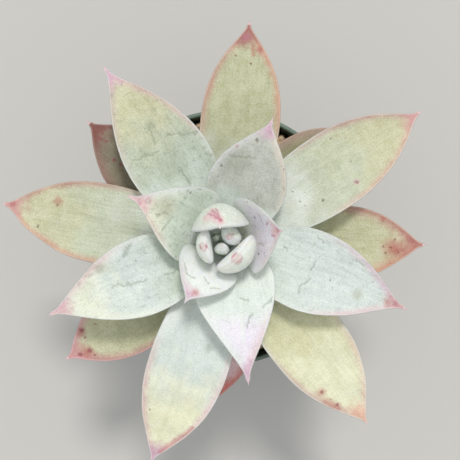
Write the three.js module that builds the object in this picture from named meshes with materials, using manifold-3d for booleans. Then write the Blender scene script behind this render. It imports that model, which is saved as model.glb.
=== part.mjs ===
// Potted echeveria hybrid: one pointed-leaf rosette in a round plastic nursery pot.
// Millimetres, +Z up. The origin is the middle of the pot's flat base.

import * as THREE from 'three';
import { mergeVertices } from 'three/addons/utils/BufferGeometryUtils.js';
import Module from 'manifold-3d';

const wasm = await Module();
wasm.setup();

// Gap between pieces that would touch
const GAP = 0.3;

// Pot: outer sizes of a 10.5 cm nursery pot, with a band under its rim and a small lip on top
const POT_RIM_RADIUS = 52;
const POT_HEIGHT = 90;
const POT_BASE_RADIUS = 37;
const POT_WALL = 1.3;
const POT_FLOOR = 2.2;
const POT_ROUNDING = 0.8;
const POT_SIDES = 40;
const BAND_HEIGHT = 11;
const BAND_STEP = 2.1;
const BAND_CHAMFER = 1.2;
const LIP_WIDTH = 1.9;
const LIP_OVERHANG = 0.4;
const DRAIN_HOLES = 8;
const DRAIN_HOLE_RADIUS = 3.5;
const DRAIN_HOLE_SIDES = 12;
const DRAIN_CIRCLE_RADIUS = 25;

// Soil: filled to a little below the rim, with grains of grit on top, all round the plant
const SOIL_LEVEL = 81.5;
const SOIL_MOUND = 2.5;
const GRAIN_COUNT = 90;
const GRAIN_RADIUS = 2.3;
const GRAIN_VARIATION = 0.22;
const GRAIN_FLATNESS = 0.8;
const GRAIN_LIFT = 0.25;
const GRAIN_SCATTER = 0.4;
const GRAINS_FROM = 20;
const GRAIN_SEED = 7;

// Stem: leans a little from the soil to the growing point
const STEM_FOOT = new THREE.Vector3(0.6, -3.9, 66);
const STEM_TOP = new THREE.Vector3(-1.0, -1.8, 117.2);
const STEM_RADIUS = 6.2;
const STEM_SIDES = 16;
const STEM_TAPER_START = 98;
const STEM_TAPER_LEVELS = 9;
const STEM_TIP_RADIUS = 0.8;
const STEM_ROUNDING = 0.6;

// Leaves: the spiral starts at the growing point and steps down the stem
const FIRST_LEAF_HEIGHT = 115.2;
const LEAF_STEP = 1.2;
const LEAF_EDGE = 0.7;
const FOOT_CLEARANCE = 0.4;
const MUCRO_LENGTH = 2.4;
const MUCRO_RADIUS = 0.9;
const MUCRO_FULL_WIDTH = 26;
const MUCRO_FORM = [[0.4, 0.47], [1, 0.22]];

// Points across a leaf, as shares of its half width: flat blades need fewer than round bud leaves
const BLADE = [-1, -0.6, 0, 0.6, 1];
const FULL = [-1, -0.72, -0.38, 0, 0.38, 0.72, 1];

// How a leaf's form changes with its age. base, peak, shoulder and point shape the outline: the width at
// the foot, where the leaf is widest, how full it stays and how sharply it narrows to its tip. thick is
// the thickness behind the margins and crown the bulge of the inner face, as shares of the width. round
// shapes the back and steps are the sections along the leaf.
const AGES = {
  heart: {
    base: 0.3, peak: 0.68, shoulder: 2.4, point: 0.6, thick: 0.5, crown: 0.2, round: 0.5,
    steps: 9, across: FULL,
  },
  bud: {
    base: 0.3, peak: 0.68, shoulder: 2.4, point: 0.6, thick: 0.25, crown: 0.18, round: 0.5,
    steps: 9, across: FULL,
  },
  hooded: { base: 0.26, peak: 0.58, shoulder: 2.6, point: 0.8, thick: 0.26, round: 0.7, steps: 12, across: FULL },
  young: { base: 0.38, peak: 0.44, shoulder: 2.1, point: 1.1, thick: 0.15, round: 0.8, steps: 12, across: FULL },
  inner: { base: 0.42, peak: 0.36, shoulder: 1.9, point: 1.25, thick: 0.12, round: 0.9, steps: 13, across: BLADE },
  middle: { base: 0.38, peak: 0.46, shoulder: 2.1, point: 1.25, thick: 0.11, round: 0.9, steps: 13, across: BLADE },
  outer: { base: 0.4, peak: 0.52, shoulder: 2.5, point: 1.15, thick: 0.11, round: 0.9, steps: 13, across: BLADE },
};

// Every leaf, from the growing point outwards, each about 137.5 degrees on from the one before.
// azimuth is counted from +X towards +Y, reach is the way from the stem's axis to the tip, tip is the
// tip's height over the pot's rim, rise is the slope at the foot, cup is how far the sides stand up as
// a share of half the width, and bow bends the leaf sideways.
const LEAVES = [
  { age: 'heart', azimuth: 136, reach: 2.8, tip: 34, width: 3.2, rise: 90, cup: 0, bow: 0 },
  { age: 'heart', azimuth: 262, reach: 0.4, tip: 37, width: 5.9, rise: 98, cup: -0.35, bow: 0.4 },
  { age: 'heart', azimuth: 44, reach: 3.8, tip: 38, width: 9, rise: 95, cup: -0.3, bow: 0 },
  { age: 'bud', azimuth: 189, reach: 6.7, tip: 41, width: 13, rise: 70, cup: 0.2, bow: 0 },
  { age: 'bud', azimuth: 313, reach: 6.9, tip: 42, width: 18.5, rise: 58, cup: 0.25, bow: 3 },
  { age: 'hooded', azimuth: 97, reach: 6, tip: 46, width: 21.5, rise: 41, cup: 0.34, bow: 0 },
  { age: 'young', azimuth: 237, reach: 23.5, tip: 41, width: 23.5, rise: 68, cup: 0.2, bow: 0 },
  { age: 'young', azimuth: 13.6, reach: 21, tip: 45, width: 28.5, rise: 55, cup: 0.28, bow: 2 },
  { age: 'inner', azimuth: 152.5, reach: 37, tip: 37, width: 29.5, rise: 58, cup: 0.2, bow: -3 },
  { age: 'inner', azimuth: 280.5, reach: 51, tip: 31, width: 31, rise: 65, cup: 0.12, bow: 2.5 },
  { age: 'middle', azimuth: 68.5, reach: 48.5, tip: 31, width: 30, rise: 40, cup: 0.16, bow: -0.5 },
  { age: 'middle', azimuth: 202, reach: 70, tip: 24, width: 29.5, rise: 42, cup: 0.16, bow: -0.5 },
  { age: 'middle', azimuth: 340.6, reach: 72.5, tip: 22, width: 31.5, rise: 38, cup: 0.14, bow: 3 },
  { age: 'middle', azimuth: 124, reach: 81, tip: 18, width: 32, rise: 35, cup: 0.14, bow: -1.5 },
  { age: 'outer', azimuth: 251.5, reach: 88.5, tip: 14, width: 30.5, rise: 32, cup: 0.14, bow: 3.5 },
  { age: 'outer', azimuth: 34, reach: 91.5, tip: 14, width: 30, rise: 30, cup: 0.14, bow: 0.5 },
  { age: 'outer', azimuth: 169.5, reach: 87.5, tip: 11, width: 31, rise: 27, cup: 0.12, bow: 1 },
  { age: 'outer', azimuth: 308.7, reach: 89.5, tip: 10, width: 30.5, rise: 25, cup: 0.12, bow: 4 },
  { age: 'outer', azimuth: 83.5, reach: 87.3, tip: 10, width: 31, rise: 23, cup: 0.12, bow: -1.5 },
  { age: 'outer', azimuth: 216, reach: 77, tip: 5, width: 30.5, rise: 20, cup: 0.1, bow: 1.5 },
  { age: 'outer', azimuth: 0, reach: 79.2, tip: 5, width: 29.5, rise: 18, cup: 0.1, bow: 2 },
  { age: 'outer', azimuth: 138, reach: 72.5, tip: 5, width: 28.5, rise: 16, cup: 0.1, bow: 0 },
  { age: 'outer', azimuth: 264.5, reach: 64, tip: 3, width: 32, rise: 14, cup: 0.08, bow: 0 },
  { age: 'outer', azimuth: 44, reach: 68.5, tip: 3, width: 29, rise: 12, cup: 0.08, bow: 0 },
];

const MATERIALS = {
  pot: { color: 0x1f3329, roughness: 0.42, metalness: 0 },
  soil: { color: 0x7d6950, roughness: 0.95, metalness: 0 },
  stem: { color: 0x8a7a5c, roughness: 0.85, metalness: 0 },
  heart: { color: 0xe4ebe6, roughness: 0.62, metalness: 0 },
  bud: { color: 0xe2eae4, roughness: 0.62, metalness: 0 },
  hooded: { color: 0xdfe8e2, roughness: 0.62, metalness: 0 },
  young: { color: 0xdbe4de, roughness: 0.62, metalness: 0 },
  inner: { color: 0xd6e0d8, roughness: 0.62, metalness: 0 },
  middle: { color: 0xd2dccf, roughness: 0.62, metalness: 0 },
  outer: { color: 0xc8d0ac, roughness: 0.6, metalness: 0 },
};

function material(name) {
  return new THREE.MeshStandardMaterial({ ...MATERIALS[name], name });
}

// Solids of three.js geometries, for joining and cutting

function solidOf(geometry) {
  const bare = geometry.clone();
  bare.deleteAttribute('normal');
  bare.deleteAttribute('uv');
  const merged = mergeVertices(bare, 1e-4);
  return new wasm.Manifold(new wasm.Mesh({
    numProp: 3,
    vertProperties: new Float32Array(merged.attributes.position.array),
    triVerts: new Uint32Array(merged.index.array),
  }));
}

function geometryOf(solid) {
  const mesh = solid.getMesh();
  const geometry = new THREE.BufferGeometry();
  geometry.setAttribute('position', new THREE.BufferAttribute(new Float32Array(mesh.vertProperties), 3));
  geometry.setIndex(new THREE.BufferAttribute(new Uint32Array(mesh.triVerts), 1));
  geometry.computeVertexNormals();
  return geometry;
}

// A lathe turned about +Z, from a profile of [radius, height] that starts and ends on the axis
function lathe(profile, sides) {
  const points = profile.map(([radius, height]) => new THREE.Vector2(radius, height));
  return new THREE.LatheGeometry(points, sides).rotateX(Math.PI / 2);
}

function uprightCylinder(radius, bottom, top, sides) {
  const cylinder = new THREE.CylinderGeometry(radius, radius, top - bottom, sides);
  return cylinder.rotateX(Math.PI / 2).translate(0, 0, (top + bottom) / 2);
}

// Pot

const bandFoot = POT_HEIGHT - BAND_HEIGHT;
const bandRadius = POT_RIM_RADIUS - LIP_OVERHANG - BAND_CHAMFER;
const wallTopRadius = bandRadius - BAND_STEP;

// Outer radius of the tapered wall below the band
function wallRadius(height) {
  return THREE.MathUtils.lerp(POT_BASE_RADIUS, wallTopRadius, height / bandFoot);
}

function potGeometry() {
  const lipFoot = POT_HEIGHT - 2 * POT_ROUNDING;
  const profile = [
    [0, 0],
    [POT_BASE_RADIUS - POT_ROUNDING, 0],
    [POT_BASE_RADIUS, POT_ROUNDING],
    [wallTopRadius, bandFoot],
    [bandRadius, bandFoot + BAND_CHAMFER],
    [POT_RIM_RADIUS - LIP_OVERHANG, lipFoot],
    [POT_RIM_RADIUS, POT_HEIGHT - POT_ROUNDING],
    [POT_RIM_RADIUS - LIP_OVERHANG, POT_HEIGHT],
    [POT_RIM_RADIUS - LIP_WIDTH + LIP_OVERHANG, POT_HEIGHT],
    [POT_RIM_RADIUS - LIP_WIDTH, POT_HEIGHT - POT_ROUNDING],
    [bandRadius - POT_WALL, bandFoot + BAND_CHAMFER + LIP_OVERHANG],
    [wallTopRadius - POT_WALL, bandFoot + LIP_OVERHANG],
    [wallRadius(POT_FLOOR) - POT_WALL, POT_FLOOR],
    [0, POT_FLOOR],
  ];
  let pot = solidOf(lathe(profile, POT_SIDES));
  for (let hole = 0; hole < DRAIN_HOLES; hole += 1) {
    const turn = (hole * 2 * Math.PI) / DRAIN_HOLES;
    const drill = uprightCylinder(DRAIN_HOLE_RADIUS, -POT_FLOOR, 2 * POT_FLOOR, DRAIN_HOLE_SIDES);
    drill.translate(DRAIN_CIRCLE_RADIUS * Math.cos(turn), DRAIN_CIRCLE_RADIUS * Math.sin(turn), 0);
    pot = pot.subtract(solidOf(drill));
  }
  return geometryOf(pot);
}

// Stem

function stemAxis(height) {
  const share = (height - STEM_FOOT.z) / (STEM_TOP.z - STEM_FOOT.z);
  return new THREE.Vector3().lerpVectors(STEM_FOOT, STEM_TOP, share);
}

function stemRadius(height) {
  const share = THREE.MathUtils.clamp((height - STEM_TAPER_START) / (STEM_TOP.z - STEM_TAPER_START), 0, 1);
  return STEM_RADIUS - (STEM_RADIUS - STEM_TIP_RADIUS) * share ** 1.3;
}

// Shifts every level of an upright geometry sideways on to the stem's axis
function leanWithStem(geometry) {
  const position = geometry.attributes.position;
  for (let i = 0; i < position.count; i += 1) {
    const axis = stemAxis(position.getZ(i));
    position.setX(i, position.getX(i) + axis.x);
    position.setY(i, position.getY(i) + axis.y);
  }
  return geometry;
}

function stemGeometry() {
  const foot = STEM_FOOT.z;
  const profile = [[0, foot], [STEM_RADIUS - STEM_ROUNDING, foot], [STEM_RADIUS, foot + STEM_ROUNDING]];
  for (let level = 0; level <= STEM_TAPER_LEVELS; level += 1) {
    const share = level / STEM_TAPER_LEVELS;
    const height = THREE.MathUtils.lerp(STEM_TAPER_START, STEM_TOP.z - STEM_ROUNDING, share);
    profile.push([stemRadius(height), height]);
  }
  profile.push([0, STEM_TOP.z]);
  return leanWithStem(lathe(profile, STEM_SIDES));
}

// Soil

// Park-Miller numbers from 0 to 1, the same on every run
function seededRandom(seed) {
  let state = seed;
  return () => {
    state = (state * 48271) % 2147483647;
    return state / 2147483647;
  };
}

function soilHeight(radius) {
  return SOIL_LEVEL + SOIL_MOUND * (1 - (radius / POT_RIM_RADIUS) ** 2);
}

// One grain's radius varies about the usual one, and its low half is sunk in the soil
function grainGeometry(distance, turn, random) {
  const size = GRAIN_RADIUS * (1 + GRAIN_VARIATION * (2 * random() - 1));
  const grain = new THREE.IcosahedronGeometry(size, 0);
  grain.rotateX(2 * Math.PI * random());
  grain.rotateZ(2 * Math.PI * random());
  grain.scale(1, 1, GRAIN_FLATNESS);
  const height = soilHeight(distance) + GRAIN_LIFT * size;
  return grain.translate(distance * Math.cos(turn), distance * Math.sin(turn), height);
}

function soilGeometry() {
  const edge = bandRadius - POT_WALL - GAP;
  const profile = [
    [0, POT_FLOOR + GAP],
    [wallRadius(POT_FLOOR) - POT_WALL - GAP, POT_FLOOR + GAP],
    [wallTopRadius - POT_WALL - GAP, bandFoot + 2 * GAP],
    [edge, bandFoot + BAND_CHAMFER + 2 * GAP],
    [edge, soilHeight(edge)],
    [edge / 2, soilHeight(edge / 2)],
    [0, soilHeight(0)],
  ];
  let soil = solidOf(lathe(profile, POT_SIDES));

  const random = seededRandom(GRAIN_SEED);
  const goldenAngle = Math.PI * (3 - Math.sqrt(5));
  const outermost = edge - GRAIN_RADIUS * (1 + GRAIN_VARIATION) - GAP;
  for (let grain = 0; grain < GRAIN_COUNT; grain += 1) {
    const share = (grain + 0.5) / GRAIN_COUNT;
    const distance = Math.sqrt(THREE.MathUtils.lerp(GRAINS_FROM ** 2, outermost ** 2, share));
    const turn = grain * goldenAngle + GRAIN_SCATTER * random();
    soil = soil.add(solidOf(grainGeometry(distance, turn, random)));
  }

  const bore = uprightCylinder(STEM_RADIUS + GAP, STEM_FOOT.z - GAP, POT_HEIGHT, 2 * STEM_SIDES);
  return geometryOf(soil.subtract(solidOf(leanWithStem(bore))));
}

// Leaves

// The size of the point at the leaf's tip: a leaf narrower than MUCRO_FULL_WIDTH has a smaller one
function mucroScale(leaf) {
  return Math.min(1, leaf.width / MUCRO_FULL_WIDTH);
}

// Half of the leaf's width at share s of its length
function halfWidth(leaf, s) {
  const form = AGES[leaf.age];
  const widest = leaf.width / 2;
  if (s < form.peak) {
    return widest * (form.base + (1 - form.base) * Math.sin((Math.PI / 2) * (s / form.peak)));
  }
  const t = (s - form.peak) / (1 - form.peak);
  const narrowed = widest * Math.max(0, 1 - t ** form.shoulder) ** form.point;
  return Math.hypot(MUCRO_RADIUS * mucroScale(leaf), narrowed);
}

// The leaf's width at share s, as a share of its widest
function fullness(leaf, s) {
  return halfWidth(leaf, s) / (leaf.width / 2);
}

function thickness(leaf, s) {
  return Math.max(LEAF_EDGE, leaf.width * AGES[leaf.age].thick * fullness(leaf, s) ** 1.1);
}

// The line along the middle of the leaf's inner face, from the stem to the tip
function midrib(leaf, order) {
  const foot = FIRST_LEAF_HEIGHT - LEAF_STEP * order;
  const azimuth = THREE.MathUtils.degToRad(leaf.azimuth);
  const rise = THREE.MathUtils.degToRad(leaf.rise);
  const out = new THREE.Vector3(Math.cos(azimuth), Math.sin(azimuth), 0);
  const side = new THREE.Vector3(-out.y, out.x, 0);
  const start = stemAxis(foot).addScaledVector(out, stemRadius(foot) + FOOT_CLEARANCE);
  const end = stemAxis(foot).addScaledVector(out, leaf.reach).setZ(POT_HEIGHT + leaf.tip);
  const lead = 0.5 * start.distanceTo(end);
  const bend = start.clone()
    .addScaledVector(out, lead * Math.cos(rise))
    .addScaledVector(side, leaf.bow)
    .setZ(foot + lead * Math.sin(rise));
  return new THREE.QuadraticBezierCurve3(start, bend, end);
}

// One section across the leaf: the inner face from side to side, then the back from side to side
function section(leaf, s, centre, along, half = halfWidth(leaf, s)) {
  const form = AGES[leaf.age];
  const azimuth = THREE.MathUtils.degToRad(leaf.azimuth);
  const level = new THREE.Vector3(-Math.sin(azimuth), Math.cos(azimuth), 0);
  const up = new THREE.Vector3().crossVectors(along, level).normalize();
  const side = new THREE.Vector3().crossVectors(up, along);
  const flesh = thickness(leaf, s) - LEAF_EDGE;
  const grown = THREE.MathUtils.smoothstep(s, 0, form.peak);
  const crown = (form.crown ?? 0) * leaf.width * fullness(leaf, s) ** 1.1 * grown;
  const cup = leaf.cup * half * grown;
  const at = (u, lift) => centre.clone().addScaledVector(side, u * half).addScaledVector(up, cup * u * u + lift);
  const face = form.across.map((u) => at(u, crown * (1 - u * u) ** form.round));
  const back = form.across.map((u) => at(u, -LEAF_EDGE - flesh * (1 - u * u) ** form.round));
  return { face, back };
}

function leafGeometry(leaf, order) {
  const form = AGES[leaf.age];
  const curve = midrib(leaf, order);
  const sections = [];
  for (let step = 0; step <= form.steps; step += 1) {
    const s = step / form.steps;
    sections.push(section(leaf, s, curve.getPoint(s), curve.getTangent(s)));
  }
  const tipward = curve.getTangent(1);
  const scale = mucroScale(leaf);
  for (const [share, radius] of MUCRO_FORM) {
    const centre = curve.getPoint(1).addScaledVector(tipward, MUCRO_LENGTH * scale * share);
    sections.push(section(leaf, 1, centre, tipward, MUCRO_RADIUS * scale * radius));
  }

  const positions = [];
  for (const { face, back } of sections) {
    for (const point of [...face, ...back]) {
      positions.push(point.x, point.y, point.z);
    }
  }

  const columns = form.across.length;
  const faceAt = (row, column) => row * 2 * columns + column;
  const backAt = (row, column) => row * 2 * columns + columns + column;
  const triangles = [];
  const quad = (a, b, c, d) => triangles.push(a, b, c, a, c, d);
  const last = sections.length - 1;
  const rim = columns - 1;
  for (let row = 0; row < last; row += 1) {
    for (let column = 0; column < rim; column += 1) {
      quad(faceAt(row, column), faceAt(row + 1, column), faceAt(row + 1, column + 1), faceAt(row, column + 1));
      triangles.push(backAt(row, column), backAt(row + 1, column + 1), backAt(row + 1, column));
      triangles.push(backAt(row, column), backAt(row, column + 1), backAt(row + 1, column + 1));
    }
    quad(backAt(row, 0), backAt(row + 1, 0), faceAt(row + 1, 0), faceAt(row, 0));
    quad(faceAt(row, rim), faceAt(row + 1, rim), backAt(row + 1, rim), backAt(row, rim));
  }
  for (let column = 0; column < rim; column += 1) {
    quad(faceAt(0, column), faceAt(0, column + 1), backAt(0, column + 1), backAt(0, column));
    quad(faceAt(last, column + 1), faceAt(last, column), backAt(last, column), backAt(last, column + 1));
  }

  const geometry = new THREE.BufferGeometry();
  geometry.setAttribute('position', new THREE.Float32BufferAttribute(positions, 3));
  geometry.setIndex(triangles);
  geometry.computeVertexNormals();
  return geometry;
}

// The plant in its pot

function piece(name, geometry, finish) {
  const mesh = new THREE.Mesh(geometry, material(finish));
  mesh.name = name;
  return mesh;
}

const plant = new THREE.Group();
plant.add(piece('pot', potGeometry(), 'pot'));
plant.add(piece('soil', soilGeometry(), 'soil'));
plant.add(piece('stem', stemGeometry(), 'stem'));
LEAVES.forEach((leaf, order) => {
  const name = `leaf_${String(order).padStart(2, '0')}`;
  plant.add(piece(name, leafGeometry(leaf, order), leaf.age));
});

export default plant;
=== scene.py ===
# Potted echeveria hybrid: the looks of its pot, soil, stem and 24 leaves.
# Sizes below are millimetres in the CAD frame: +Z up, the origin under the middle of the pot.

import math
import random
from functools import cache
from typing import NamedTuple

import bmesh
import bpy
import numpy as np
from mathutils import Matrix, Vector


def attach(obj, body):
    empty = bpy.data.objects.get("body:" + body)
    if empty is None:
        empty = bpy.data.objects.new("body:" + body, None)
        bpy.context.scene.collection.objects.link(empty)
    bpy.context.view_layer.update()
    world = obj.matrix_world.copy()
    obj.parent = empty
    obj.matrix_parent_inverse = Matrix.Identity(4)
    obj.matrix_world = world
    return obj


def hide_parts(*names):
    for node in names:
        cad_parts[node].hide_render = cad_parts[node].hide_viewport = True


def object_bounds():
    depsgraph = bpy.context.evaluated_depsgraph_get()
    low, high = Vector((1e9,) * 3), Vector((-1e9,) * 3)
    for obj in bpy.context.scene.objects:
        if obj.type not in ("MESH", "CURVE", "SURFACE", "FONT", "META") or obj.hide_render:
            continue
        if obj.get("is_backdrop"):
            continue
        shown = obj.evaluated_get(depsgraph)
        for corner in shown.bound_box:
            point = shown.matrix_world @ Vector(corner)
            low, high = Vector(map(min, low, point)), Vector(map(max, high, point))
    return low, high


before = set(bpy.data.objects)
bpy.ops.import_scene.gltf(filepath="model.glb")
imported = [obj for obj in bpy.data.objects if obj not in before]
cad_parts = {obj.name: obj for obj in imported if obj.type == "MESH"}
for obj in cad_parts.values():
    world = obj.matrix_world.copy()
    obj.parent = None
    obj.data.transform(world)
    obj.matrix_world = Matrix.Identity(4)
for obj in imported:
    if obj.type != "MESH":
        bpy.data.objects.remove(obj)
cad_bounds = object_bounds()

MM = 0.001

# Camera: straight above the plant, up in the picture is +Y
CAMERA_PLACE = (2.0, 3.05, 440)
CAMERA_FOCAL_PIXELS = 860
IMAGE_PIXELS = 460
SENSOR = 36
CLIP_METRES = (0.01, 20)

# Light: a wide pale world and one soft key light from above
FLOOR_HALF_SIZE = 3000
WORLD_COLOUR = (0.95, 0.97, 1.0, 1.0)
WORLD_STRENGTH = 0.68
KEY_STRENGTH = 1.5
KEY_COLOUR = (1.0, 0.975, 0.94)
KEY_SOFTNESS = math.radians(12)
KEY_TURN = (math.radians(-29), math.radians(5), 0)

# Pot; the top of its lip is painted pale between two depths below its top, a painted highlight
POT_RIM_RADIUS = 52
POT_HEIGHT = 90
POT_BASE_RADIUS = 37
POT_WALL = 1.3
POT_FLOOR = 2.2
POT_ROUNDING = 0.8
POT_SIDES = 192
POT_WALL_START = 1.58
POT_WALL_STEPS = 40
POT_BASE_EDGE = 4.8
CORNER_STEPS = 5
SHARP_ANGLE = math.radians(38)
PLASTIC_RELIEF = 0.03
BAND_HEIGHT = 11
BAND_STEP = 2.1
BAND_CHAMFER = 1.2
LIP_WIDTH = 1.9
LIP_OVERHANG = 0.4
LIP_HIGHLIGHT_FROM = 0.7
LIP_HIGHLIGHT_TO = 0.1
LIP_HIGHLIGHT = 0.4
DRAIN_HOLES = 8
DRAIN_HOLE_RADIUS = 3.5
DRAIN_HOLE_SIDES = 40
DRAIN_CIRCLE_RADIUS = 25
DRILL_REACH = 5
GAP = 0.3

# Soil; its lumps are given by their length and by how many waves make them
SOIL_LEVEL = 81.5
SOIL_MOUND = 2.5
SOIL_TOP_DEPTH = 1
SOIL_RINGS = 70
SOIL_SIDES = 200
SOIL_ROUGHNESS = 0.35
SOIL_LUMPS = (5, 6)
SOIL_FINE_LUMPS = (1.9, 8)
SOIL_FINE_SHARE = 0.6
SOIL_RELIEF = 0.3

# Grains of grit, as in the CAD source, and finer crumbs; a level is how often an icosphere is split
GRAIN_COUNT = 90
GRAIN_RADIUS = 2.3
GRAIN_VARIATION = 0.22
GRAIN_FLATNESS = 0.8
GRAIN_LIFT = 0.25
GRAIN_SCATTER = 0.4
GRAINS_FROM = 20
GRAIN_SEED = 7
GRAIN_LEVEL = 3
GENERATOR_FACTOR = 48271
GENERATOR_PRIME = 2147483647
CRUMB_COUNT = 1100
CRUMB_RADII = (0.45, 1.35)
CRUMB_FLATNESS = (0.6, 0.9)
CRUMB_LIFT = 0.35
CRUMBS_FROM = 8
CRUMB_SEED = 12
CRUMB_LEVEL = 2

# Stones are spheres with flat cuts, then roughened, stretched and turned; lengths are shares of the radius
STONE_CUTS = 6
STONE_CUT_REACH = (0.62, 0.9)
STONE_CUT_DEPTH = 0.85
STONE_ROUGHNESS = 0.06
STONE_STRETCH = (0.8, 1.15)
STONE_TURN = 6.28

# The soil's "stone" attribute: earth, then stones from dark to pale, then the palest ones on top, pale grit
# painted paler still as painted light
EARTH_TONE = 0.2
STONE_TONES = (0.35, 1.0)
LIT_TOP_GRAIN_TONE = 2.0

# Pale grains that lie on the others against the wall, where the leaves leave the rim open, painted paler
# still as painted light where the leaves shade them: the turn about the pot's axis in degrees, the distance
# from it, the radius, and how many radii the middle is raised
TOP_GRAINS = [
    (60.5, 47.2, 1.7, 1.2),
    (59.2, 44.9, 1.6, 1.1),
    (57.6, 47.0, 1.4, 1.2),
    (61.8, 45.2, 1.5, 1.1),
    (102.8, 46.9, 1.8, 1.2),
    (104.4, 47.3, 1.3, 1.2),
    (287.5, 47.1, 1.6, 1.2),
    (289.5, 45.3, 1.4, 1.1),
]

# Stem; its bark has scars in rings that wander up and down, and flakes
STEM_FOOT = np.array((0.6, -3.9, 66))
STEM_TOP = np.array((-1.0, -1.8, 117.2))
STEM_RADIUS = 6.2
STEM_TAPER_START = 98
STEM_TIP_RADIUS = 0.8
STEM_TIP_ROUND = 0.3
STEM_SIDES = 72
STEM_RINGS = 120
STEM_GREEN_FROM = 96
STEM_GREEN_TO = STEM_TOP[2] - 8
SCAR_SPACING = 2.4
SCAR_DEPTH = 0.22
SCAR_SWELL = 0.1
SCAR_WANDER = 0.6
FLAKE_DEPTH = 0.15
FLAKE_LENGTH = 3.5
FLAKE_SPREAD = 6
STEM_SEED = 31
BARK_RELIEF = 0.25

# Leaves
FIRST_LEAF_HEIGHT = 115.2
LEAF_STEP = 1.2
LEAF_EDGE = 0.7
FOOT_CLEARANCE = 0.4
FLESH_POWER = 1.1
LEAF_SEED = 31

# The mucro is the spike at a leaf's tip, full-sized on leaves of a certain width; its share along the leaf
# is counted as just past the tip
MUCRO_LENGTH = 2.4
MUCRO_RADIUS = 0.9
MUCRO_FULL_WIDTH = 26
MUCRO_BLUNT = 0.3
MUCRO_FLARE = 2.5
MUCRO_END = 0.02
MUCRO_SHARE = 1.02

# Rows of points along a leaf, closer towards the tip, and columns round its section
ROW_LENGTH = 0.72
ROW_LIMITS = (48, 140)
ROW_CROWDING = 1.25
MIDRIB_STEPS = 60
MARK_STEPS = 40
FACE_COLUMNS = 49
EDGE_COLUMNS = 5
BACK_COLUMNS = 29
MUCRO_ROWS = 8

# Unevenness of a leaf's faces; it comes in and fades out between these shares of the leaf's length
UNEVEN_FROM = (0.12, 0.4)
UNEVEN_TO = (0.93, 1.0)
GUTTER_TO = (0.5, 0.9)
SWELL_HEIGHT = 0.3
SWELL_LENGTH = 17
WAVER_HEIGHT = 0.4
WAVER_LENGTH = 15
GUTTER_DEPTH = 0.35
GUTTER_WIDTH = 2.2

# The leaf_mm attribute is moved by these, so that no two leaves or sides share their noise
LEAF_APART = 40
BACK_APART = 15

# Leaf finish; the glow is light that passes through the flesh
LEAF_RELIEF = 0.07
LEAF_SPECULAR = 0.35
BAND_FADE = 0.3
GLOW_DEPTH = 6
GLOW_RADII = (1.0, 0.9, 0.7)
WHITEST = (0.93, 0.95, 0.93)


class Age(NamedTuple):
    """The form of a leaf at one age, as in the CAD source."""
    base: float
    peak: float
    shoulder: float
    point: float
    thick: float
    round: float
    crown: float = 0
    uneven: float = 1


AGES = {
    "heart": Age(0.3, 0.68, 2.4, 0.6, 0.5, 0.5, 0.2, 0),
    "bud": Age(0.3, 0.68, 2.4, 0.6, 0.25, 0.5, 0.18, 0),
    "hooded": Age(0.26, 0.58, 2.6, 0.8, 0.26, 0.7, 0, 0.2),
    "young": Age(0.38, 0.44, 2.1, 1.1, 0.15, 0.8, 0, 0.5),
    "inner": Age(0.42, 0.36, 1.9, 1.25, 0.12, 0.9),
    "middle": Age(0.38, 0.46, 2.1, 1.25, 0.11, 0.9),
    "outer": Age(0.4, 0.52, 2.5, 1.15, 0.11, 0.9),
}


class Leaf(NamedTuple):
    """One leaf's place and size, as in the CAD source."""
    age: str
    azimuth: float
    reach: float
    tip: float
    width: float
    rise: float
    cup: float
    bow: float


LEAVES = [
    Leaf("heart", 136, 2.8, 34, 3.2, 90, 0, 0),
    Leaf("heart", 262, 0.4, 37, 5.9, 98, -0.35, 0.4),
    Leaf("heart", 44, 3.8, 38, 9, 95, -0.3, 0),
    Leaf("bud", 189, 6.7, 41, 13, 70, 0.2, 0),
    Leaf("bud", 313, 6.9, 42, 18.5, 58, 0.25, 3),
    Leaf("hooded", 97, 6, 46, 21.5, 41, 0.34, 0),
    Leaf("young", 237, 23.5, 41, 23.5, 68, 0.2, 0),
    Leaf("young", 13.6, 21, 45, 28.5, 55, 0.28, 2),
    Leaf("inner", 152.5, 37, 37, 29.5, 58, 0.2, -3),
    Leaf("inner", 280.5, 51, 31, 31, 65, 0.12, 2.5),
    Leaf("middle", 68.5, 48.5, 31, 30, 40, 0.16, -0.5),
    Leaf("middle", 202, 70, 24, 29.5, 42, 0.16, -0.5),
    Leaf("middle", 340.6, 72.5, 22, 31.5, 38, 0.14, 3),
    Leaf("middle", 124, 81, 18, 32, 35, 0.14, -1.5),
    Leaf("outer", 251.5, 88.5, 14, 30.5, 32, 0.14, 3.5),
    Leaf("outer", 34, 91.5, 14, 30, 30, 0.14, 0.5),
    Leaf("outer", 169.5, 87.5, 11, 31, 27, 0.12, 1),
    Leaf("outer", 308.7, 89.5, 10, 30.5, 25, 0.12, 4),
    Leaf("outer", 83.5, 87.3, 10, 31, 23, 0.12, -1.5),
    Leaf("outer", 216, 77, 5, 30.5, 20, 0.1, 1.5),
    Leaf("outer", 0, 79.2, 5, 29.5, 18, 0.1, 2),
    Leaf("outer", 138, 72.5, 5, 28.5, 16, 0.1, 0),
    Leaf("outer", 264.5, 64, 3, 32, 14, 0.08, 0),
    Leaf("outer", 44, 68.5, 3, 29, 12, 0.08, 0),
]

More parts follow.
